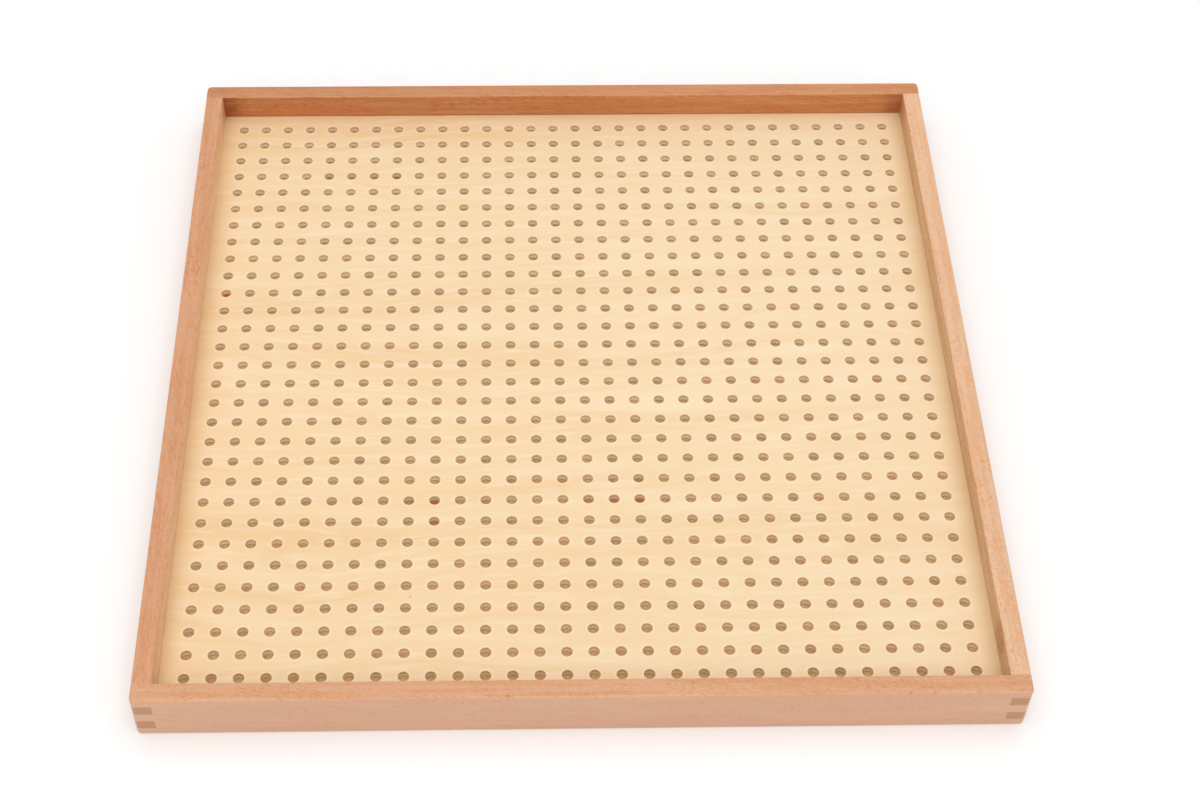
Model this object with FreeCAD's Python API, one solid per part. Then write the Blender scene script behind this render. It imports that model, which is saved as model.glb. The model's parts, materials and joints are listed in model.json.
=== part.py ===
"""A square root peg board: a plywood panel with thirty rows of thirty peg holes, in a beech frame.

Millimetres. +X is to the right along the front rail, +Y goes away from it and +Z is up. The
origin is the middle of the frame's footprint, so the board rests on the plane Z = 0.
"""

import FreeCAD, Part
import os

# Peg holes
holes_per_row = 30
hole_pitch = 16.0
hole_diameter = 6.5
hole_to_rail = 14.5  # from the centre of an outer hole to the rail's inner face

# Sheets
panel_thickness = 6.0  # the drilled plywood
backing_thickness = 3.0  # the sheet that the pegs stand on

# Rails
rail_thickness = 12.0
wall_height = 18.8  # the rails' top above the panel
foot_height = 8.2  # the backing sheet's underside above the table

# Grooves in the rails
groove_depth = 5.0
groove_play = 0.4  # between the sheets' edges and the bottom of the groove

# Finger joints
finger_height = 7.6
side_fingers = 2  # on each end of a side rail, with the front and back rails' between them

# Sanded edges
upright_radius = 3.0  # the frame's four outer corners
outer_radius = 1.5  # the outer edges along the top and the bottom
inner_radius = 1.0  # the inner edges along the top and the bottom

# Sizes that follow
row_length = (holes_per_row - 1) * hole_pitch
inner_size = row_length + 2 * hole_to_rail
outer_size = inner_size + 2 * rail_thickness
groove_bottom = foot_height
groove_height = backing_thickness + panel_thickness
panel_top = groove_bottom + groove_height
rail_height = panel_top + wall_height
groove_size = inner_size + 2 * groove_depth
sheet_size = groove_size - 2 * groove_play
joint_height = (2 * side_fingers - 1) * finger_height
joint_bottom = (rail_height - joint_height) / 2

clear_of_frame = 5.0  # how far a cutting tool runs past the wood
touching = 1e-6


def block(low, high):
    """A box between two opposite corners."""
    size = [b - a for a, b in zip(low, high)]
    return Part.makeBox(*size, FreeCAD.Vector(*low))


def square_block(size, bottom, top):
    """A square plate or column about the Z axis."""
    return block((-size / 2, -size / 2, bottom), (size / 2, size / 2, top))


def edges_along(shape, size, heights):
    """The level edges on a square's four sides, at any of the given heights."""
    found = []
    for edge in shape.Edges:
        middle = edge.CenterOfMass
        on_side = abs(max(abs(middle.x), abs(middle.y)) - size / 2) < upright_radius
        at_height = any(abs(edge.BoundBox.ZMin - z) < touching for z in heights)
        if on_side and at_height and edge.BoundBox.ZLength < touching:
            found.append(edge)
    return found


def upright_edges(shape, height):
    """The edges that run the full height of the shape."""
    return [edge for edge in shape.Edges if abs(edge.BoundBox.ZLength - height) < touching]


def frame_ring():
    """The four rails as one glued and sanded ring, with the groove for the two sheets."""
    ends = (0.0, rail_height)
    ring = square_block(outer_size, 0, rail_height)
    ring = ring.makeFillet(upright_radius, upright_edges(ring, rail_height))
    ring = ring.makeFillet(outer_radius, edges_along(ring, outer_size, ends))
    ring = ring.cut(square_block(inner_size, -clear_of_frame, rail_height + clear_of_frame))
    ring = ring.makeFillet(inner_radius, edges_along(ring, inner_size, ends))
    return ring.cut(square_block(groove_size, groove_bottom, panel_top))


def side_finger_zones():
    """The bottom and top of each side rail's finger, from the lowest up."""
    bottoms = [joint_bottom + 2 * i * finger_height for i in range(side_fingers)]
    return [(z, z + finger_height) for z in bottoms]


def corner_fingers(x_side, y_side):
    """The side rail's fingers in one corner of the frame."""
    near, far = inner_size / 2, outer_size / 2
    xs = sorted((x_side * near, x_side * far))
    ys = sorted((y_side * near, y_side * far))
    return [block((xs[0], ys[0], low), (xs[1], ys[1], high)) for low, high in side_finger_zones()]


def end_rail(ring, y_side):
    """The front or the back rail: full width, notched at both ends for the side rails' fingers."""
    ys = sorted((y_side * inner_size / 2, y_side * outer_size / 2))
    room = block((-outer_size / 2, ys[0], 0), (outer_size / 2, ys[1], rail_height))
    notches = corner_fingers(-1, y_side) + corner_fingers(1, y_side)
    return ring.common(room.cut(notches))


def side_rail(ring, x_side):
    """The left or the right rail, with its fingers running to the frame's outer faces."""
    xs = sorted((x_side * inner_size / 2, x_side * outer_size / 2))
    room = block((xs[0], -inner_size / 2, 0), (xs[1], inner_size / 2, rail_height))
    fingers = corner_fingers(x_side, -1) + corner_fingers(x_side, 1)
    return ring.common(room.fuse(fingers).removeSplitter())


def peg_panel():
    """The plywood sheet with a round hole right through it at every point of the grid."""
    bottom = groove_bottom + backing_thickness
    half = sheet_size / 2
    corners = [(-half, -half), (half, -half), (half, half), (-half, half)]
    outline = Part.makePolygon([FreeCAD.Vector(x, y, bottom) for x, y in corners + corners[:1]])
    places = [i * hole_pitch - row_length / 2 for i in range(holes_per_row)]
    down = FreeCAD.Vector(0, 0, -1)  # a hole's rim runs the opposite way round to the outline
    rims = [
        Part.Wire(Part.makeCircle(hole_diameter / 2, FreeCAD.Vector(x, y, bottom), down))
        for x in places
        for y in places
    ]
    return Part.Face([outline] + rims).extrude(FreeCAD.Vector(0, 0, panel_thickness))


def backing_sheet():
    """The plain sheet under the panel, in the same groove."""
    return square_block(sheet_size, groove_bottom, groove_bottom + backing_thickness)


def only_solid(shape, name):
    """The shape's one solid."""
    if len(shape.Solids) != 1:
        raise ValueError(f"{name} has {len(shape.Solids)} solids")
    return shape.Solids[0]


def main():
    ring = frame_ring()
    pieces = {
        "front_rail": end_rail(ring, -1),
        "back_rail": end_rail(ring, 1),
        "left_rail": side_rail(ring, -1),
        "right_rail": side_rail(ring, 1),
        "peg_panel": peg_panel(),
        "backing_sheet": backing_sheet(),
    }
    os.makedirs("parts", exist_ok=True)
    for name, shape in pieces.items():
        solid = only_solid(shape, name)
        solid.exportStep(f"parts/{name}.step")
        print(f"{name}: {solid.Volume / 1000:.1f} cm3, {len(solid.Faces)} faces")


main()
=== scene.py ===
"""The finish of a square root peg board: a drilled plywood panel in a beech frame, on a pale floor.

The board rests on Z = 0 with +X to the right along the front rail, +Y towards the back rail and
+Z up. Blender works in metres. Names that end in _MM, and all places and sizes inside a
material, are in millimetres.
"""

import json
import math
from typing import NamedTuple

import bpy
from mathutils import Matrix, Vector


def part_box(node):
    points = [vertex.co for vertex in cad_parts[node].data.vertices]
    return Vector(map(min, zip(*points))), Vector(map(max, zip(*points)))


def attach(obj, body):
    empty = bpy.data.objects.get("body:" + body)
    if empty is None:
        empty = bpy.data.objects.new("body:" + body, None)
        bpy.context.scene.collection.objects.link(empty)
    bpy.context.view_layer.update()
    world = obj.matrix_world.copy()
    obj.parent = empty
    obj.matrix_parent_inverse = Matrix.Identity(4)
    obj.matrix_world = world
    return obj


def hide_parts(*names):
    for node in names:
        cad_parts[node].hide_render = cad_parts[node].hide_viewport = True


bl_info = {
    "name": "Square Root Peg Board",
    "version": (1, 0, 0),
    "blender": (4, 5, 0),
    "location": "3D View > Sidebar > Peg Board",
    "description": "Finishes the peg board's panel, backing sheet and rails, and lights them",
    "category": "Object",
}

BODY = "root"
MM = 0.001
X, Y, Z = range(3)
UP, DOWN = (0.0, 0.0, 1.0), (0.0, 0.0, -1.0)
HOLES_PER_ROW = 30

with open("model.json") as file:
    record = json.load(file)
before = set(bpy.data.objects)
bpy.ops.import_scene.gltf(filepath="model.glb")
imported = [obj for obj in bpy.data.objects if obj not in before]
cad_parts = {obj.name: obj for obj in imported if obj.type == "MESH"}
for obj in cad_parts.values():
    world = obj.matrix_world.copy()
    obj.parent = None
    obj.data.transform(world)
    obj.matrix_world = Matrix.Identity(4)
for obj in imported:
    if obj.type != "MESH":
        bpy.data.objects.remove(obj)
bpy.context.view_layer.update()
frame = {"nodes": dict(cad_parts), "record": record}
mounts = {mount["name"]: mount for mount in frame["record"]["mounts"]}
first_hole = mounts["peg_hole_front_left"]
last_hole = mounts["peg_hole_back_right"]
panel_low, panel_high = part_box("peg_panel")

HOLE_RADIUS = first_hole["dims"]["r_mm"] * MM
ROW_LENGTH = last_hole["pos_m"][X] - first_hole["pos_m"][X]
INNER_HALF_MM = -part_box("left_rail")[1].x / MM  # from the middle to a rail's inner face
PANEL_TOP_MM = panel_high.z / MM
BACKING_TOP_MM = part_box("backing_sheet")[1].z / MM


def linear(red, green, blue):
    """A colour picked on a screen, from 0 to 255, as the light that Blender works in."""
    shares = (value / 255 for value in (red, green, blue))
    return tuple(s / 12.92 if s <= 0.04045 else ((s + 0.055) / 1.055) ** 2.4 for s in shares)


def length(name, description, default, high=1.0):
    """A size in metres that the sidebar shows with its unit."""
    return bpy.props.FloatProperty(
        name=name,
        description=description,
        default=default,
        min=0.0,
        max=high,
        precision=5,
        subtype="DISTANCE",
        unit="LENGTH",
    )


def share(name, description, default, high=1.0):
    """A strength from nothing up to its highest value."""
    return bpy.props.FloatProperty(
        name=name, description=description, default=default, min=0.0, max=high
    )


def colour(name, description, red, green, blue):
    """A paint or stain colour."""
    return bpy.props.FloatVectorProperty(
        name=name,
        description=description,
        default=linear(red, green, blue),
        min=0.0,
        max=1.0,
        size=3,
        subtype="COLOR",
    )


class PEGBOARD_PG_panel(bpy.types.PropertyGroup):
    """The drilled plywood."""

    holes_per_row: bpy.props.IntProperty(
        name="Holes per row",
        description="Peg holes along each side",
        default=HOLES_PER_ROW,
        min=2,
        max=60,
    )
    hole_radius: length("Hole radius", "Radius of the drill", HOLE_RADIUS, 0.02)
    rim_width: length("Rim width", "Sanding round the top edge of each hole", 0.12 * MM, 0.001)
    hole_segments: bpy.props.IntProperty(
        name="Hole segments",
        description="Flat strips round each hole, a multiple of four",
        default=32,
        min=8,
        max=32,
    )
    veneer: colour("Veneer", "Pale face of the plywood", 248, 215, 168)
    veneer_pale: colour("Pale streaks", "Whitish streaks along the face", 252, 229, 194)
    veneer_warm: colour("Warm streaks", "Orange-tinted streaks along the face", 243, 203, 150)
    growth_line: colour("Growth lines", "Thin darker lines in the face", 232, 184, 128)
    side_ply: colour("Ply seen along", "Plies cut along their grain in the holes", 252, 236, 212)
    end_ply: colour("Ply seen on end", "Plies cut across their grain in the holes", 219, 189, 149)
    rim: colour("Sanded rims", "Paler ring round each hole", 254, 236, 200)
    drill_edge: colour("Drill edges", "Thin darker line at each hole", 222, 182, 134)
    red: colour("Red stain", "The red-brown walls of a few holes", 200, 122, 58)
    speck: colour("Speck", "A small dark speck on the face", 176, 128, 84)
    # Painted shade: the colour the face turns along the rails and in front.
    shaded: colour("By the rails", "Painted shade along the rails", 212, 176, 122)


class PEGBOARD_PG_backing(bpy.types.PropertyGroup):
    """The brown sheet under the panel."""

    brown: colour("Brown", "The sheet's own colour", 231, 207, 161)
    dark: colour("Dark fibres", "Darker fibres in the sheet", 211, 170, 116)
    orange: colour("Orange patches", "Orange patches on some floors", 218, 132, 72)
    red: colour("Red stain", "The red-brown floors of a few holes", 204, 98, 34)


class PEGBOARD_PG_beech(bpy.types.PropertyGroup):
    """The four rails."""

    # Each face's colour is partly its wood, partly painted light and shade for how it is lit.
    front_top: colour("Front rail, top", "Top of the front rail", 223, 171, 131)
    front_outer: colour("Front rail, outside", "Front face of the board", 218, 172, 142)
    front_inner: colour("Front rail, inside", "Wall above the panel", 200, 144, 98)
    back_top: colour("Back rail, top", "Top of the back rail", 213, 150, 105)
    back_outer: colour("Back rail, outside", "Back face of the board", 208, 156, 124)
    back_inner: colour("Back rail, inside", "Wall above the panel", 208, 144, 95)
    left_top: colour("Left rail, top", "Top of the left rail", 222, 166, 126)
    left_outer: colour("Left rail, outside", "Left face of the board", 212, 160, 128)
    left_inner: colour("Left rail, inside", "Wall above the panel", 246, 212, 178)
    right_top: colour("Right rail, top", "Top of the right rail", 237, 194, 158)
    right_outer: colour("Right rail, outside", "Right face of the board", 222, 174, 142)
    right_inner: colour("Right rail, inside", "Wall above the panel", 225, 191, 151)
    end_grain: colour("End grain", "The side rails' finger ends", 189, 139, 96)
    fleck: colour("Flecks", "Tint of the darker flecks and streaks", 241, 222, 203)
    # Also the colour of the painted shade in the rails' inner corners.
    stain: colour("Stains", "Red-brown stains on the walls", 156, 84, 44)
    mark: colour("Marks", "Small dark marks on the front edge", 168, 112, 70)


class PEGBOARD_PG_studio(bpy.types.PropertyGroup):
    """The floor, the light and the camera."""

    floor_size: length("Floor size", "Side of the square floor", 8.0, 50.0)
    floor: colour("Floor", "Colour of the floor", 252, 252, 252)
    floor_glow: share("Floor glow", "White that the camera alone sees on the far floor", 0.5)
    near_glow: share("Near glow", "The share of it that is left round the board", 0.12)
    sky_strength: share("Sky strength", "Even light from all round", 0.68, 5.0)
    key_power: bpy.props.FloatProperty(
        name="Key power", description="Lamp above the board", default=11.5, min=0.0, unit="POWER"
    )
    fill_power: bpy.props.FloatProperty(
        name="Fill power", description="Lamp in front", default=15.5, min=0.0, unit="POWER"
    )
    camera_place: bpy.props.FloatVectorProperty(
        name="Camera place",
        description="Where the camera stands",
        default=(-0.03857, -0.87560, 1.05157),
        size=3,
        subtype="XYZ",
        unit="LENGTH",
    )
    camera_turn: bpy.props.FloatVectorProperty(
        name="Camera turn",
        description="Its turn from looking straight down",
        default=tuple(math.radians(a) for a in (39.466, -0.457, -0.984)),
        size=3,
        subtype="EULER",
    )
    camera_lens: bpy.props.FloatProperty(
        name="Focal length",
        description="Lens of the camera",
        default=61.984,
        min=1.0,
        unit="CAMERA",
    )
    camera_shift: bpy.props.FloatProperty(
        name="Shift", description="Sideways shift of the picture", default=0.04302
    )


MIX_FACTOR, MIX_START, MIX_END, MIX_RESULT = 0, 6, 7, 2  # the colour sockets of a Mix node


def solid(value):
    """A colour with its alpha, as a colour socket takes it."""
    return (*value, 1.0)


class Wire:
    """A shader socket in an expression, where each operator adds a Math node to its tree."""

    def __init__(self, tree, socket=None):
        self.tree = tree
        self.socket = socket

    def node(self, kind, settings=None, inputs=None, output=0):
        """Add any node: its settings go in first, then its values and links."""
        made = self.tree.nodes.new(kind)
        for name, value in (settings or {}).items():
            setattr(made, name, value)
        for name, value in (inputs or {}).items():
            if isinstance(value, Wire):
                self.tree.links.new(value.socket, made.inputs[name])
            else:
                made.inputs[name].default_value = value
        return Wire(self.tree, made.outputs[output])

    def math(self, operation, *values):
        return self.node("ShaderNodeMath", {"operation": operation}, dict(enumerate(values)))

    def __add__(self, other):
        return self.math("ADD", self, other)

    def __radd__(self, other):
        return self.math("ADD", other, self)

    def __sub__(self, other):
        return self.math("SUBTRACT", self, other)

    def __rsub__(self, other):
        return self.math("SUBTRACT", other, self)

    def __mul__(self, other):
        return self.math("MULTIPLY", self, other)

    def __rmul__(self, other):
        return self.math("MULTIPLY", other, self)

    def __truediv__(self, other):
        return self.math("DIVIDE", self, other)

    def __abs__(self):
        return self.math("ABSOLUTE", self)

    def largest(self, other):
        return self.math("MAXIMUM", self, other)

    def root(self):
        return self.math("SQRT", self)

    def clamped(self):
        return self.node("ShaderNodeClamp", {}, {"Value": self})

    def rise(self, low, high):
        """Nothing below low, one above high and a soft step between them."""
        limits = {"Value": self, "From Min": low, "From Max": high}
        return self.node("ShaderNodeMapRange", {"interpolation_type": "SMOOTHSTEP"}, limits)

    def vector(self, operation, *values, output="Vector"):
        """The result of a Vector Math node, which is a number where its output is Value."""
        settings = {"operation": operation}
        return self.node("ShaderNodeVectorMath", settings, dict(enumerate(values)), output)

    def axes(self):
        """The X, Y and Z of a vector."""
        split = self.node("ShaderNodeSeparateXYZ", {}, {"Vector": self})
        return [Wire(self.tree, socket) for socket in split.socket.node.outputs]

    def joined(self, x, y, z):
        """A vector from three numbers."""
        return self.node("ShaderNodeCombineXYZ", {}, {"X": x, "Y": y, "Z": z})

    def scaled(self, amount):
        """A colour or a vector times one number."""
        inputs = {"Vector": self, "Scale": amount}
        return self.node("ShaderNodeVectorMath", {"operation": "SCALE"}, inputs)

    def tinted(self, other):
        """A colour times another colour."""
        return self.vector("MULTIPLY", self, tuple(other))

    def near(self, place, reach):
        """One at a place, falling to nothing at a distance from it."""
        away = self.vector("DISTANCE", self, place, output="Value")
        return 1 - (away / reach).rise(0.35, 1.0)


def mixed(start, end, amount):
    """A colour between two others, each of them a wire or a colour of the sidebar."""
    start, end = (value if isinstance(value, Wire) else solid(value) for value in (start, end))
    settings = {"data_type": "RGBA", "clamp_factor": True}
    inputs = {MIX_FACTOR: amount, MIX_START: start, MIX_END: end}
    return amount.node("ShaderNodeMix", settings, inputs, MIX_RESULT)


class Pattern(NamedTuple):
    """Noise as marks in wood: their length along the grain, their width and their detail."""

    length: float
    width: float
    detail: float = 2.0
    roughness: float = 0.5
    offset: tuple = (0.0, 0.0, 0.0)


class Finish:
    """A material on its way: where a point of the piece is, in millimetres, and how it faces.

    The grain is the same place, moved where the wood's fibres don't run straight. The seed
    starts all patterns elsewhere, so that two pieces of the same wood differ.
    """

    def __init__(self, name, along=X, seed=0.0):
        self.material = bpy.data.materials.new(name)
        self.material.use_nodes = True
        self.tree = self.material.node_tree
        self.shader = self.tree.nodes["Principled BSDF"]
        self.start = Wire(self.tree)
        self.along = along
        self.offset = (seed, seed * 1.7, seed * 0.6)
        self.place = self.start.node("ShaderNodeTexCoord", output="Object").scaled(1 / MM)
        self.grain = self.place
        self.normal = self.start.node("ShaderNodeNewGeometry", output="Normal")

    def noise(self, pattern, along=None):
        """A pattern's noise at each place, from nothing to one."""
        scale = [1 / pattern.width] * 3
        scale[self.along if along is None else along] = 1 / pattern.length
        offset = tuple(a + b for a, b in zip(pattern.offset, self.offset))
        place = self.grain.vector("MULTIPLY_ADD", self.grain, tuple(scale), offset)
        inputs = {
            "Vector": place,
            "Scale": 1.0,
            "Detail": pattern.detail,
            "Roughness": pattern.roughness,
        }
        return place.node("ShaderNodeTexNoise", {"noise_dimensions": "3D"}, inputs)

    def link(self, name, wire):
        self.tree.links.new(wire.socket, self.shader.inputs[name])

    def bump(self, height, depth):
        """Bump from a height between nothing and one, for a depth in millimetres."""
        inputs = {"Height": height, "Strength": 1.0, "Distance": depth * MM}
        self.link("Normal", self.start.node("ShaderNodeBump", {}, inputs))


def give(piece, material):
    """Put one material on a piece."""
    piece.data.materials.clear()
    piece.data.materials.append(material)


class Spot(NamedTuple):
    """A spot on the wood: its middle, reach and strength. In two corners it is painted shade."""

    place: tuple
    reach: float
    strength: float


def marked(finish, spots):
    """How strongly any of the spots shows at a place."""
    total = 0.0
    for stain in spots:
        total = finish.place.near(stain.place, stain.reach) * stain.strength + total
    return total.clamped()


# The peg holes


HOLE_STAIN_REACH_MM = 9.0


def hole_pitch(count):
    """From one hole to the next, in metres, for a number of holes in a row."""
    return ROW_LENGTH / (count - 1)


def hole_stain(column, row, strength):
    """A stain on the floor of one hole, counted from the front left one."""
    pitch = hole_pitch(HOLES_PER_ROW) / MM
    middle = (HOLES_PER_ROW - 1) / 2
    place = ((column - middle) * pitch, (row - middle) * pitch, BACKING_TOP_MM)
    return Spot(place, HOLE_STAIN_REACH_MM, strength)


HOLE_STAINS = (
    hole_stain(8, 8, 0.3),
    hole_stain(9, 8, 0.8),
    hole_stain(9, 7, 0.6),
    hole_stain(11, 8, 0.35),
    hole_stain(15, 8, 0.35),
    hole_stain(16, 8, 0.45),
    hole_stain(17, 8, 0.7),
    hole_stain(17, 9, 0.4),
    hole_stain(0, 19, 0.9),
    hole_stain(4, 26, 0.7),
    hole_stain(5, 26, 0.5),
    hole_stain(6, 26, 0.5),
    hole_stain(7, 26, 1.0),
)


def from_hole_axis(place, pitch):
    """How far a place is from the axis of its nearest hole."""
    cells = place.scaled(MM / pitch)
    x, y, _ = cells.vector("FRACTION", cells).axes()
    return ((x - 0.5) * (x - 0.5) + (y - 0.5) * (y - 0.5)).root() * (pitch / MM)


def hole_chance(place, pitch, seed):
    """A number between nothing and one that is the same all over one hole's cell."""
    cells = place.scaled(MM / pitch)
    x, y, _ = cells.vector("FLOOR", cells).axes()
    cell = place.joined(x, y, seed)
    return cell.node("ShaderNodeTexWhiteNoise", {"noise_dimensions": "3D"}, {"Vector": cell})


# The plywood panel


PLY_EDGES_MM = (0.4, 2.0, 4.2, 5.7)  # where one ply ends and the next starts, from the top down
PLY_BLUR_MM = 0.08
GRAIN_TILT = math.radians(2.0)
GRAIN_WANDER_MM = 36.0
RING_SPACING_MM = 31.0
FIBRE_DEPTH_MM = 0.02

# Where shades set in and are full: across the board, along it, and down the wall of a hole.
SIDE_SHADE_MM = (INNER_HALF_MM - 16.0, INNER_HALF_MM)
BACK_SHADE_MM = (INNER_HALF_MM - 90.0, INNER_HALF_MM)
FRONT_SHADE_ENDS_MM = (-230.0, 0.0)
PALER_RIGHT_MM = (-220.0, 260.0)
PALER_MIDDLE_STARTS_MM = (-100.0, 40.0)
PALER_MIDDLE_ENDS_MM = (130.0, 210.0)
SHADED_HOLES_END_MM = (-250.0, 90.0)
WALL_SHADE_DEPTH_MM = (2.0, 4.5)
STAIN_DEPTH_MM = (2.0, 5.5)
GRID_BLUR_MM = 0.1

WANDER = Pattern(170.0, 70.0, 1.0, offset=(3.1, 7.7, 0.0))
VENEER_BANDS = Pattern(420.0, 26.0, offset=(1.3, 0.0, 2.0))
VENEER_CLOUDS = Pattern(110.0, 17.0, 1.0, offset=(2.0, 9.0, 4.0))
VENEER_STREAKS = Pattern(52.0, 4.6, 3.0, 0.6, (0.0, 4.0, 1.0))
VENEER_PATCHES = Pattern(34.0, 4.2, 1.0, offset=(8.0, 1.0, 6.0))
VENEER_FIBRES = Pattern(14.0, 0.45, 2.0, 0.6, (5.0, 0.0, 3.0))
WALL_GRAIN = Pattern(5.0, 0.5, offset=(2.0, 2.0, 2.0))

PANEL_MARKS = (Spot((-101.4, -176.0, 17.2), 1.1, 0.55),)


def wandering(place, wander):
    """A place in the grain of the veneer, which is tilted a little and bends."""
    x, y, z = place.axes()
    return place.joined(
        x * math.cos(GRAIN_TILT) + y * math.sin(GRAIN_TILT),
        y * math.cos(GRAIN_TILT) - x * math.sin(GRAIN_TILT) + wander * GRAIN_WANDER_MM,
        z,
    )


def veneer(finish, settings, wander):
    """Warm and pale streaks with thin growth lines, paler to the right and past the middle."""
    x, y, _ = finish.place.axes()
    streaks = finish.noise(VENEER_STREAKS)
    rings = finish.grain.axes()[Y] / RING_SPACING_MM + wander * 2.0
    ring_line = 1 - abs(rings.math("FRACT", rings) - 0.5).rise(0.0, 0.10)
    cream = 0.25 + 0.75 * finish.noise(VENEER_BANDS).rise(0.30, 0.52)
    face = mixed(settings.veneer_warm, settings.veneer, cream)
    face = mixed(face, settings.veneer_pale, streaks.rise(0.50, 0.72) * 0.65)
    face = mixed(face, settings.veneer_pale, finish.noise(VENEER_PATCHES).rise(0.56, 0.72) * 0.45)
    face = mixed(face, settings.growth_line, ring_line * streaks.rise(0.35, 0.6) * 0.26)
    past_middle = y.rise(*PALER_MIDDLE_STARTS_MM) - y.rise(*PALER_MIDDLE_ENDS_MM)
    pale = x.rise(*PALER_RIGHT_MM) * 0.4 + past_middle * 0.1
    pale = pale + finish.noise(VENEER_CLOUDS).rise(0.5, 0.72) * 0.36
    return mixed(face, settings.veneer_pale, pale)


def painted_shade_by_rails(place):
    """How much painted shade darkens the face by the side rails, the back rail and in front."""
    x, y, _ = place.axes()
    by_side = abs(x).rise(*SIDE_SHADE_MM)
    by_back = y.rise(*BACK_SHADE_MM)
    in_front = 1 - y.rise(*FRONT_SHADE_ENDS_MM)
    return (by_side * 0.5).largest(by_back * 0.11).largest(in_front * 0.11)


def rimmed(face, place, settings, pitch):
    """The face with a thin dark line at the edge of each hole and a paler ring round it."""
    x, y, _ = place.axes()
    radius = settings.hole_radius / MM
    away = from_hole_axis(place, pitch)
    grid_edge = settings.holes_per_row * pitch / 2 / MM
    past_grid = abs(x).largest(abs(y)).rise(grid_edge - GRID_BLUR_MM, grid_edge + GRID_BLUR_MM)
    drilled = 1 - past_grid
    ring = away.rise(radius + 0.3, radius + 0.7) * (1 - away.rise(radius + 0.9, radius + 1.8))
    line = 1 - away.rise(radius + 0.15, radius + 0.55)
    face = mixed(face, settings.rim, ring * drilled * 0.35)
    return mixed(face, settings.drill_edge, line * drilled * 0.55)


def ply_wall(finish, settings, pitch):
    """The wall of a hole, with plies cut along their grain and across it by turns."""
    depth = PANEL_TOP_MM - finish.place.axes()[Z]
    steps = [depth.rise(edge - PLY_BLUR_MM, edge + PLY_BLUR_MM) for edge in PLY_EDGES_MM]
    cross_ply = steps[0] - steps[1] + steps[2] - steps[3]
    facing_y = abs(finish.normal.axes()[Y]).rise(0.1, 0.9)
    on_end = cross_ply * facing_y + (1 - cross_ply) * (1 - facing_y)
    wall = mixed(settings.side_ply, settings.end_ply, on_end)
    chance = hole_chance(finish.place, pitch, 1.0)
    wall = wall.scaled(0.945 + finish.noise(WALL_GRAIN, Z) * 0.12 + 0.10 * chance)
    # Painted shade on the upper walls of the holes in the front rows.
    in_front = 1 - finish.place.axes()[Y].rise(*SHADED_HOLES_END_MM)
    wall = mixed(wall, settings.shaded, in_front * (1 - depth.rise(*WALL_SHADE_DEPTH_MM)) * 0.25)
    red_walls = marked(finish, HOLE_STAINS) * depth.rise(*STAIN_DEPTH_MM)
    return mixed(wall, settings.red, red_walls * 0.5)


def plywood(settings, pitch):
    """Pale lacquered veneer on the face, with the plies showing in the walls of the holes."""
    finish = Finish("Lacquered plywood")
    wander = finish.noise(WANDER)
    finish.grain = wandering(finish.place, wander)
    fibres = finish.noise(VENEER_FIBRES)
    face = veneer(finish, settings, wander).scaled(0.965 + fibres * 0.07)
    # Painted shade along the rails and towards the front.
    face = mixed(face, settings.shaded, painted_shade_by_rails(finish.place))
    face = rimmed(face, finish.place, settings, pitch)
    face = mixed(face, settings.speck, marked(finish, PANEL_MARKS))
    upward = finish.normal.axes()[Z].rise(0.5, 0.95)
    finish.link("Base Color", mixed(ply_wall(finish, settings, pitch), face, upward))
    finish.link("Roughness", 0.46 + fibres * 0.12)
    finish.bump(fibres, FIBRE_DEPTH_MM)
    return finish.material


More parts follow.
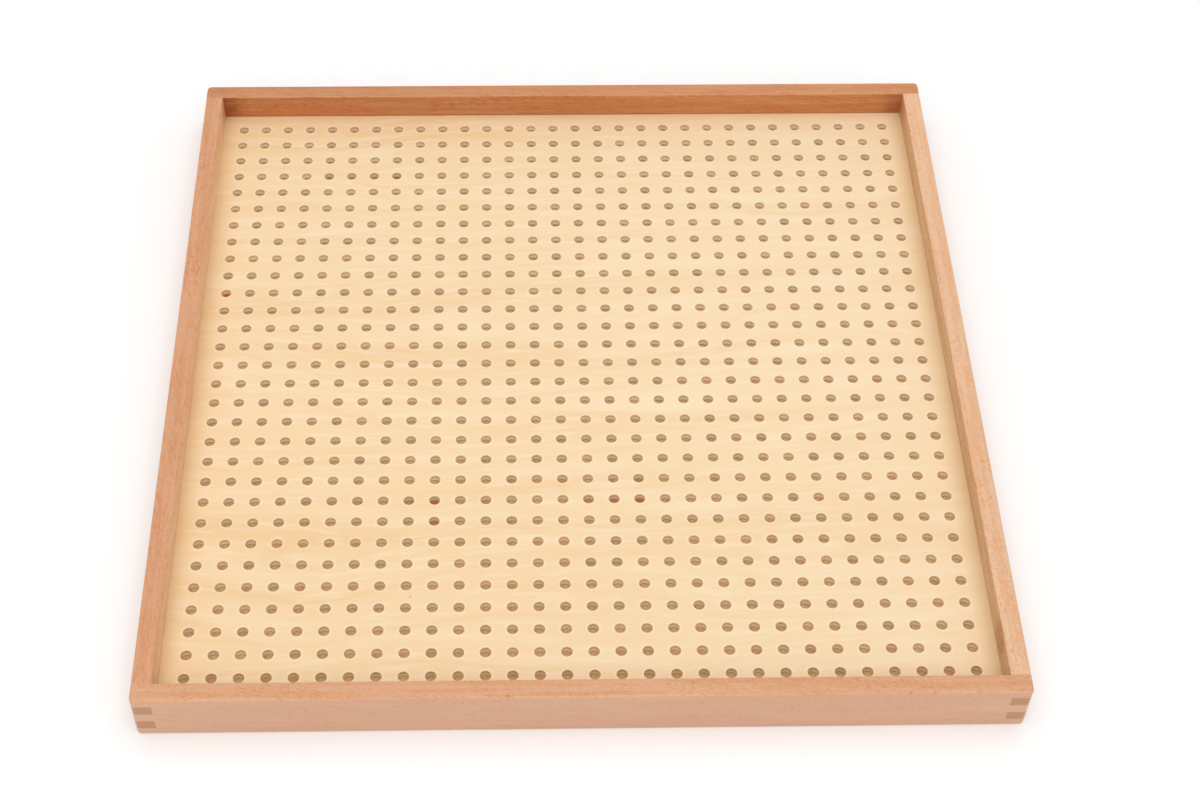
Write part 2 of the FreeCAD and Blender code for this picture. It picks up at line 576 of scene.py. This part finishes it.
class DrilledSheet:
    """A sheet's mesh on its way, on a grid of lines that run the same both ways.

    It holds the points, the faces and the direction of the surface at each corner of a face.
    """

    def __init__(self, lines, top, bottom, segments):
        self.lines = lines
        self.side = len(lines)
        self.points = [(x, y, z) for z in (top, bottom) for y in lines for x in lines]
        self.faces = []
        self.normals = []
        turns = [2 * math.pi * k / segments for k in range(segments)]
        self.spokes = [(math.cos(turn), math.sin(turn)) for turn in turns]
        self.inward = [(-c, -s, 0.0) for c, s in self.spokes]

    def corner(self, i, j, low):
        """The point where two lines cross, on the bottom where low is true."""
        return (self.side**2 if low else 0) + j * self.side + i

    def cell(self, i, j, low):
        """A cell's corners, anticlockwise from the back right one."""
        around = ((i + 1, j + 1), (i, j + 1), (i, j), (i + 1, j))
        return [self.corner(a, b, low) for a, b in around]

    def face(self, corners, directions):
        self.faces.append(corners)
        self.normals.extend(directions)

    def level_face(self, corners, low):
        """A face of the top or the bottom, from corners that run anticlockwise from above."""
        out = DOWN if low else UP
        self.face(corners[::-1] if low else corners, [out] * len(corners))

    def plain_cell(self, i, j):
        for low in (False, True):
            self.level_face(self.cell(i, j, low), low)

    def around_hole(self, cell, rim, low):
        """Triangles from a cell's corners to the hole's rim, a quarter of the rim to each."""
        count = len(self.spokes)
        quarter = count // 4
        for quadrant in range(4):
            first = quadrant * quarter
            self.level_face((cell[quadrant - 1], cell[quadrant], rim + first), low)
            for k in range(first, first + quarter):
                self.level_face((cell[quadrant], rim + (k + 1) % count, rim + k), low)

    def strip(self, upper, lower, upper_normal=None):
        """The faces between two rings of points, towards the axis unless a direction is given."""
        count = len(self.spokes)
        for k in range(count):
            after = (k + 1) % count
            self.face(
                (upper + k, upper + after, lower + after, lower + k),
                (
                    upper_normal or self.inward[k],
                    upper_normal or self.inward[after],
                    self.inward[after],
                    self.inward[k],
                ),
            )

    def drilled_cell(self, i, j, rings):
        """A cell with a hole, whose rings are the rim's outer edge, its inner edge and the end."""
        x = (self.lines[i] + self.lines[i + 1]) / 2
        y = (self.lines[j] + self.lines[j + 1]) / 2
        starts = []
        for radius, z in rings:
            starts.append(len(self.points))
            self.points.extend((x + radius * c, y + radius * s, z) for c, s in self.spokes)
        outer, inner, end = starts
        self.around_hole(self.cell(i, j, False), outer, False)
        self.around_hole(self.cell(i, j, True), end, True)
        self.strip(outer, inner, UP)
        self.strip(inner, end)

    def sides(self):
        """The sheet's four edges."""
        last = self.side - 1
        for k in range(last):
            for a, b, out in (
                ((k, 0), (k + 1, 0), (0.0, -1.0, 0.0)),
                ((last, k), (last, k + 1), (1.0, 0.0, 0.0)),
                ((k + 1, last), (k, last), (0.0, 1.0, 0.0)),
                ((0, k + 1), (0, k), (-1.0, 0.0, 0.0)),
            ):
                low_corners = (self.corner(*a, True), self.corner(*b, True))
                high_corners = (self.corner(*b, False), self.corner(*a, False))
                self.face(low_corners + high_corners, [out] * 4)

    def mesh(self, name):
        mesh = bpy.data.meshes.new(name)
        mesh.from_pydata(self.points, [], self.faces, shade_flat=False)
        mesh.validate()
        mesh.normals_split_custom_set(self.normals)
        return mesh


def panel_mesh(settings, pitch):
    """The sheet with all its holes, each with a sanded rim on top."""
    count = settings.holes_per_row
    radius, rim = settings.hole_radius, settings.rim_width
    top, bottom = panel_high.z, panel_low.z
    reach = count * pitch / 2
    lines = [-panel_high.x, *(i * pitch - reach for i in range(count + 1)), panel_high.x]
    sheet = DrilledSheet(lines, top, bottom, settings.hole_segments)
    rings = ((radius + rim, top), (radius, top - rim), (radius, bottom))
    for j in range(count + 2):
        for i in range(count + 2):
            if 1 <= i <= count and 1 <= j <= count:
                sheet.drilled_cell(i, j, rings)
            else:
                sheet.plain_cell(i, j)
    sheet.sides()
    return sheet.mesh("drilled_panel")


class PEGBOARD_OT_panel(bpy.types.Operator):
    """Model the drilled plywood panel with its sanded holes, and give it its plies and veneer"""

    bl_idname = "peg_board.panel"
    bl_label = "Drilled panel"

    def execute(self, context):
        settings = context.scene.peg_board_panel
        if settings.hole_segments % 4:
            raise ValueError("the segments round a hole have to be a multiple of four")
        pitch = hole_pitch(settings.holes_per_row)
        panel = bpy.data.objects.new("drilled_panel", panel_mesh(settings, pitch))
        context.scene.collection.objects.link(panel)
        give(panel, plywood(settings, pitch))
        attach(panel, BODY)
        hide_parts("peg_panel")
        return {"FINISHED"}


# The backing sheet


BACKING_FIBRES = Pattern(2.5, 0.35, 3.0, 0.7, (1.0, 2.0, 3.0))
BACKING_CLOUDS = Pattern(40.0, 22.0, offset=(4.0, 2.0, 3.0))
BACKING_SPECKS = Pattern(0.6, 0.6, 1.0, offset=(9.0, 2.0, 3.0))
BACKING_PATCHES = Pattern(3.6, 2.8, 1.0, offset=(6.0, 2.0, 3.0))
BACKING_DEPTH_MM = 0.03


def backing(settings, pitch):
    """Brown sheet with short fibres, a little different under each hole and plain underneath."""
    finish = Finish("Brown backing sheet")
    fibres = finish.noise(BACKING_FIBRES)
    above = finish.normal.axes()[Z].rise(0.0, 0.5)
    darkness = fibres.rise(0.35, 0.75) * 0.45 + finish.noise(BACKING_CLOUDS).rise(0.35, 0.7) * 0.25
    darkness = darkness + 0.3 * hole_chance(finish.place, pitch, 2.0) * above
    base = mixed(settings.brown, settings.dark, darkness)
    base = mixed(base.scaled(0.82), base, above)
    patches = finish.noise(BACKING_PATCHES).rise(0.54, 0.70)
    base = mixed(base, settings.orange, patches * above * 0.5)
    base = mixed(base, settings.red, marked(finish, HOLE_STAINS) * above)
    finish.link("Base Color", base.scaled(0.94 + finish.noise(BACKING_SPECKS) * 0.12))
    finish.link("Roughness", 0.62 + fibres * 0.2)
    finish.bump(fibres, BACKING_DEPTH_MM)
    return finish.material


class PEGBOARD_OT_backing(bpy.types.Operator):
    """Give the sheet under the panel its brown fibres"""

    bl_idname = "peg_board.backing"
    bl_label = "Backing sheet"

    def execute(self, context):
        pitch = hole_pitch(context.scene.peg_board_panel.holes_per_row)
        material = backing(context.scene.peg_board_backing, pitch)
        give(frame["nodes"]["backing_sheet"], material)
        return {"FINISHED"}


# The beech rails


DRIFT = Pattern(210.0, 22.0)
BANDS = Pattern(85.0, 3.4, 2.0, 0.6)
STREAKS = Pattern(17.0, 0.9, 2.0, 0.6)
FIBRES = Pattern(9.0, 0.35, 2.0, 0.65)
FLECKS = Pattern(3.2, 0.45, 1.0)
LONG_FLECKS = Pattern(10.0, 1.0, 1.0)
FLECKED_AREAS = Pattern(46.0, 9.0, 1.0)
DRIFT_BEND_MM = 14.0
# Painted shade in the crease where a rail's inside meets the panel.
CREASE_SHADE_MM = (0.2, 1.1)  # above the panel
CORNER_SHADE_MM = (INNER_HALF_MM - 24.0, INNER_HALF_MM)
SLOPE_MM = (-260.0, 260.0)
FLECK_DEPTH_MM = 0.02


class Rail(NamedTuple):
    """A rail and its wood.

    Its grain runs along one axis, with a lean across it, and its inner face looks inward. The
    seed sets its figure, the slope is how much painted light makes it lighter from end to end,
    and the crease shade is how dark the painted shade is in the crease just above the panel.
    """

    side: str
    along: int
    inward: tuple
    seed: float
    lean: float
    slope: float
    crease_shade: float
    marks: tuple = ()
    inner_stains_and_shade: tuple = ()


RAILS = (
    Rail(
        "front",
        along=X,
        inward=(0.0, 1.0, 0.0),
        seed=11.0,
        lean=0.28,
        slope=0.0,
        crease_shade=0.1,
        marks=(
            Spot((187.6, -257.9, 35.4), 1.3, 0.55),
            Spot((201.3, -257.9, 35.4), 1.2, 0.5),
            Spot((226.4, -257.9, 35.4), 1.0, 0.4),
            Spot((-43.1, -257.4, 35.7), 1.3, 0.6),
        ),
    ),
    Rail(
        "back",
        along=X,
        inward=(0.0, -1.0, 0.0),
        seed=23.0,
        lean=0.08,
        slope=0.07,
        crease_shade=0.35,
        # Painted shade in the back rail's two inner corners.
        inner_stains_and_shade=(
            Spot((-248.0, 246.5, 25.0), 18.0, 1.0),
            Spot((244.0, 246.5, 19.0), 13.0, 0.6),
        ),
    ),
    Rail("left", along=Y, inward=(1.0, 0.0, 0.0), seed=37.0, lean=0.16, slope=0.03, crease_shade=0.0),
    Rail(
        "right",
        along=Y,
        inward=(-1.0, 0.0, 0.0),
        seed=51.0,
        lean=0.33,
        slope=0.05,
        crease_shade=0.1,
        inner_stains_and_shade=(Spot((246.5, -216.0, 28.0), 16.0, 0.55),),
    ),
)


def leaning(finish, rail, drift):
    """A place in the grain of a rail, which leans across it and bends with the drift."""
    sideways = finish.place.axes()[rail.along] * rail.lean + drift * DRIFT_BEND_MM
    shift = [0.0 if axis == rail.along else sideways for axis in (X, Y, Z)]
    return finish.place.vector("ADD", finish.place, finish.start.joined(*shift))


def rail_tone(finish, settings, rail, inward):
    """The rail's colour on each face: partly its wood, partly painted light and shade."""
    faces = ("outer", "top", "inner")
    outer, top, inner = (getattr(settings, f"{rail.side}_{face}") for face in faces)
    wood = mixed(outer, top, finish.normal.axes()[Z].rise(0.05, 0.35))
    return mixed(wood, inner, inward.rise(0.86, 0.99))


def painted_edge_highlight(finish):
    """One where the surface turns between flat faces, where the highlight is painted."""
    x, y, z = (abs(part) for part in finish.normal.axes())
    return 1 - x.largest(y).largest(z).rise(0.88, 0.995)


def flecked(finish, flecks):
    """How strongly the short flecks and the long ones show, with stretches that have more."""
    areas = finish.noise(FLECKED_AREAS).rise(0.32, 0.62)
    short = flecks.rise(0.58, 0.70) * (0.25 + 0.75 * areas)
    return (short + finish.noise(LONG_FLECKS).rise(0.54, 0.68) * areas * 0.8).clamped()


def stained_and_shaded(wood, finish, settings, rail, inside, streaks):
    """The wood with its marks and a stain, and painted shade above the panel and in the corners."""
    # Painted shade in the crease just above the panel.
    above_panel = abs(finish.place.axes()[Z] - PANEL_TOP_MM)
    line = 1 - above_panel.rise(*CREASE_SHADE_MM)
    wood = wood.scaled(1 - rail.crease_shade * line * inside)
    to_end = finish.place.axes()[rail.along]
    to_end = abs(to_end) if rail.along == X else to_end
    # Painted shade on the insides towards the rails' inner corners.
    in_corner = to_end.rise(*CORNER_SHADE_MM)
    wood = mixed(wood, settings.stain, in_corner * inside * 0.35)
    if rail.marks:
        wood = mixed(wood, settings.mark, marked(finish, rail.marks))
    # A red-brown stain on the right rail's inside, and painted shade in the back rail's corners.
    if rail.inner_stains_and_shade:
        spots = marked(finish, rail.inner_stains_and_shade) * inside
        wood = mixed(wood, settings.stain, spots * (0.5 + streaks.rise(0.35, 0.6) * 0.5))
    return wood


def beech(settings, rail):
    """Pinkish steamed beech under satin lacquer, with short dark flecks along the grain."""
    finish = Finish(f"Lacquered beech, {rail.side} rail", rail.along, rail.seed)
    inward = finish.normal.vector("DOT_PRODUCT", finish.normal, rail.inward, output="Value")
    inside = inward.rise(0.7, 0.95)
    outside = 1 - inward.rise(-0.9, -0.5)
    on_end = abs(finish.normal.axes()[rail.along]).rise(0.75, 0.95)
    drift, bands = (finish.noise(pattern) for pattern in (DRIFT, BANDS))
    finish.grain = leaning(finish, rail, drift)
    streaks, fibres, flecks = (finish.noise(pattern) for pattern in (STREAKS, FIBRES, FLECKS))

    figured = 1 - 0.45 * outside + 0.7 * inside
    streaked = streaks.rise(0.38, 0.68) * 0.42 + bands.rise(0.38, 0.62) * 0.55
    fleck_mask = flecked(finish, flecks) * figured
    wood = rail_tone(finish, settings, rail, inward)
    wood = mixed(wood, wood.tinted(settings.fleck), streaked * figured)
    wood = mixed(wood, wood.tinted(settings.fleck), fleck_mask)

    # The rounded edges get a painted highlight, a little lighter than the flat faces.
    tone = 0.85 + 0.12 * drift + 0.14 * bands + 0.06 * fibres + 0.05 * painted_edge_highlight(finish)
    # A painted gradient of light along the rail, lighter towards one end.
    tone = tone + rail.slope * (finish.place.axes()[rail.along].rise(*SLOPE_MM) - 0.5)
    ends = mixed(settings.end_grain, settings.mark, flecks.rise(0.5, 0.8) * 0.25)
    wood = mixed(wood.scaled(tone), ends, on_end)
    finish.link("Base Color", stained_and_shaded(wood, finish, settings, rail, inside, streaks))
    finish.link("Roughness", 0.42 + 0.10 * fibres + 0.08 * fleck_mask)
    finish.bump(1 - fleck_mask * 0.8 + fibres * 0.3, FLECK_DEPTH_MM)
    return finish.material


class PEGBOARD_OT_rails(bpy.types.Operator):
    """Give the four rails their beech"""

    bl_idname = "peg_board.rails"
    bl_label = "Beech rails"

    def execute(self, context):
        for rail in RAILS:
            node = frame["nodes"][f"{rail.side}_rail"]
            give(node, beech(context.scene.peg_board_beech, rail))
        return {"FINISHED"}


# The floor, the light and the camera


WHITE = (1.0, 1.0, 1.0)
GLOW_MM = (500.0, 2600.0)  # from where the floor's glow grows to where it is full
KEY_PLACE, KEY_SIZE = (0.05, 0.25, 2.3), 2.0
FILL_PLACE, FILL_SIZE = (-0.1, -1.5, 2.05), 1.8
SENSOR_WIDTH_MM = 36.0
NEAREST_SEEN = 0.01


def seen_by_camera(start):
    """One on the camera's own rays, and nothing on the rays that light other things."""
    return start.node("ShaderNodeLightPath", output="Is Camera Ray")


def floor_material(settings):
    """Plain pale floor, a little brighter where the camera sees it, so that it reads as white."""
    finish = Finish("Pale floor")
    finish.shader.inputs["Base Color"].default_value = solid(settings.floor)
    finish.shader.inputs["Roughness"].default_value = 0.9
    finish.shader.inputs["Specular IOR Level"].default_value = 0.0
    finish.shader.inputs["Emission Strength"].default_value = settings.floor_glow
    away = finish.place.vector("LENGTH", finish.place, output="Value")
    glow = away.rise(*GLOW_MM) * (1 - settings.near_glow) + settings.near_glow
    white = finish.start.joined(*WHITE)
    finish.link("Emission Color", white.scaled(seen_by_camera(finish.start) * glow))
    return finish.material


def floor_piece(settings):
    """A square floor in the plane that the board rests on."""
    half = settings.floor_size / 2
    corners = [(-half, -half, 0), (half, -half, 0), (half, half, 0), (-half, half, 0)]
    mesh = bpy.data.meshes.new("floor")
    mesh.from_pydata(corners, [], [(0, 1, 2, 3)])
    mesh.materials.append(floor_material(settings))
    return bpy.data.objects.new("floor", mesh)


def soft_sky(settings):
    """Even white light from all round, which is full white to the camera itself."""
    world = bpy.data.worlds.new("Soft sky")
    world.use_nodes = True
    seen = seen_by_camera(Wire(world.node_tree))
    strength = seen * (1 - settings.sky_strength) + settings.sky_strength
    sky = world.node_tree.nodes["Background"]
    sky.inputs["Color"].default_value = solid(WHITE)
    world.node_tree.links.new(strength.socket, sky.inputs["Strength"])
    return world


def area_lamp(name, place, size, power):
    """A square soft lamp that looks at the middle of the board."""
    light = bpy.data.lights.new(name, "AREA")
    light.size = size
    light.energy = power
    lamp = bpy.data.objects.new(name, light)
    lamp.location = place
    lamp.rotation_euler = (-Vector(place)).to_track_quat("-Z", "Y").to_euler()
    return lamp


def studio_camera(settings):
    """A camera that sees the board as the photograph does."""
    lens = bpy.data.cameras.new("camera")
    lens.lens = settings.camera_lens
    lens.sensor_width = SENSOR_WIDTH_MM
    lens.shift_x = settings.camera_shift
    lens.clip_start = NEAREST_SEEN
    camera = bpy.data.objects.new("camera", lens)
    camera.location = settings.camera_place
    camera.rotation_euler = settings.camera_turn
    return camera


class PEGBOARD_OT_studio(bpy.types.Operator):
    """Lay the pale floor, light the board softly and stand the camera in front of it"""

    bl_idname = "peg_board.studio"
    bl_label = "Floor, light and camera"

    def execute(self, context):
        scene = context.scene
        settings = scene.peg_board_studio
        floor = floor_piece(settings)
        camera = studio_camera(settings)
        key = area_lamp("key", KEY_PLACE, KEY_SIZE, settings.key_power)
        fill = area_lamp("fill", FILL_PLACE, FILL_SIZE, settings.fill_power)
        for thing in (floor, key, fill, camera):
            scene.collection.objects.link(thing)
        scene.world = soft_sky(settings)
        scene.camera = camera
        scene.view_settings.view_transform = "Standard"
        return {"FINISHED"}


STEPS = (PEGBOARD_OT_studio, PEGBOARD_OT_panel, PEGBOARD_OT_backing, PEGBOARD_OT_rails)
GROUPS = {
    "peg_board_panel": PEGBOARD_PG_panel,
    "peg_board_backing": PEGBOARD_PG_backing,
    "peg_board_beech": PEGBOARD_PG_beech,
    "peg_board_studio": PEGBOARD_PG_studio,
}


class PEGBOARD_PT_sidebar(bpy.types.Panel):
    """Lists the steps and their settings."""

    bl_label = "Peg Board"
    bl_idname = "PEGBOARD_PT_sidebar"
    bl_space_type = "VIEW_3D"
    bl_region_type = "UI"
    bl_category = "Peg Board"

    def draw(self, context):
        for step in STEPS:
            self.layout.operator(step.bl_idname)
        for name, group in GROUPS.items():
            box = self.layout.box()
            for setting in group.__annotations__:
                box.prop(getattr(context.scene, name), setting)


def register():
    for group in GROUPS.values():
        bpy.utils.register_class(group)
    for name, group in GROUPS.items():
        setattr(bpy.types.Scene, name, bpy.props.PointerProperty(type=group))
    for step in STEPS:
        bpy.utils.register_class(step)
    bpy.utils.register_class(PEGBOARD_PT_sidebar)


def unregister():
    bpy.utils.unregister_class(PEGBOARD_PT_sidebar)
    for step in reversed(STEPS):
        bpy.utils.unregister_class(step)
    for name, group in GROUPS.items():
        delattr(bpy.types.Scene, name)
        bpy.utils.unregister_class(group)


def main():
    register()
    bpy.ops.peg_board.studio()
    bpy.ops.peg_board.panel()
    bpy.ops.peg_board.backing()
    bpy.ops.peg_board.rails()


if __name__ == "__main__":
    main()
